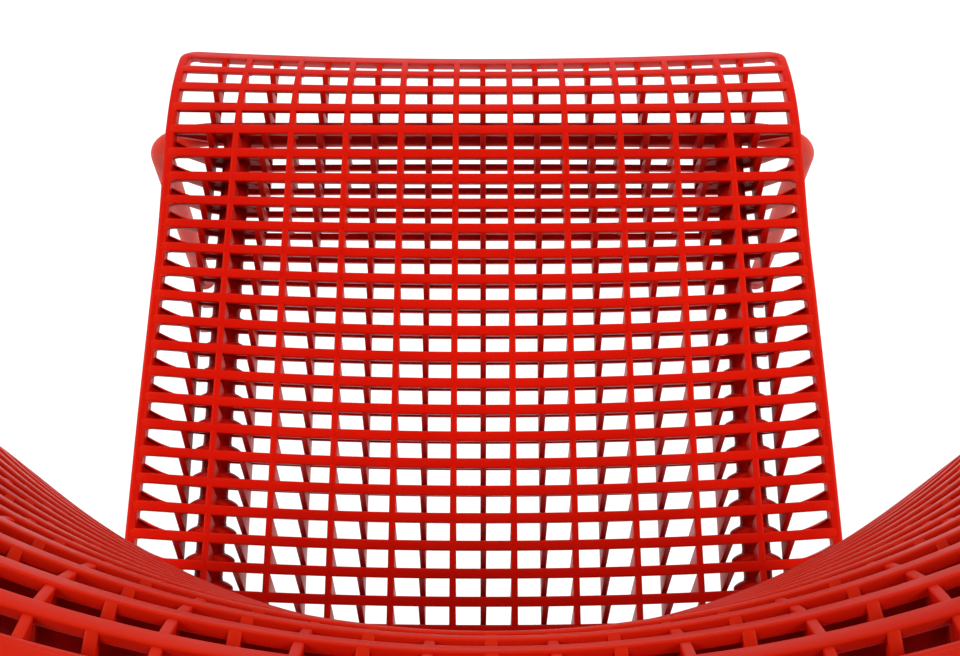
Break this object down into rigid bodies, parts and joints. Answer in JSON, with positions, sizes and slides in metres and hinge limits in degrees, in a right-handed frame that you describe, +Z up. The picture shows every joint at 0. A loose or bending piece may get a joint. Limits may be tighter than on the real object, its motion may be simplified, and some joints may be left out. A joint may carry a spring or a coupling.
{
  "type": "chair",
  "caption": "Stacking chair with a lattice moulded seat and a wrap-around lattice back on a tubular frame with four splayed legs.",
  "frame": {"origin": "on the floor, at the middle of the chair's footprint box", "axes": "+Z up; the sitter faces -Y; +X is to the left of a sitter, across the seat"},
  "size_m": [0.572, 0.4917, 0.8382],
  "materials": {
    "grid_plastic": "satin moulded red",
    "cap_plastic": "satin moulded red",
    "frame_paint": "semi-gloss powder coat, red",
    "screw_steel": "zinc plated",
    "foot_plastic": "matte red"
  },
  "bodies": {
    "root": {"back_panel": "grid_plastic", "front_left_glide": "foot_plastic", "front_left_seat_screw": "screw_steel", "front_left_stacking_pad": "foot_plastic", "front_leg_frame": "frame_paint", "front_right_glide": "foot_plastic", "front_right_seat_screw": "screw_steel", "front_right_stacking_pad": "foot_plastic", "left_back_post": "frame_paint", "left_post_cap": "cap_plastic", "left_side_beam": "frame_paint", "lower_left_back_screw": "screw_steel", "lower_right_back_screw": "screw_steel", "middle_left_back_screw": "screw_steel", "middle_right_back_screw": "screw_steel", "rear_left_glide": "foot_plastic", "rear_left_seat_screw": "screw_steel", "rear_left_stacking_pad": "foot_plastic", "rear_leg_frame": "frame_paint", "rear_right_glide": "foot_plastic", "rear_right_seat_screw": "screw_steel", "rear_right_stacking_pad": "foot_plastic", "right_back_post": "frame_paint", "right_post_cap": "cap_plastic", "right_side_beam": "frame_paint", "seat_panel": "grid_plastic", "upper_left_back_screw": "screw_steel", "upper_right_back_screw": "screw_steel"}
  },
  "joints": []
}
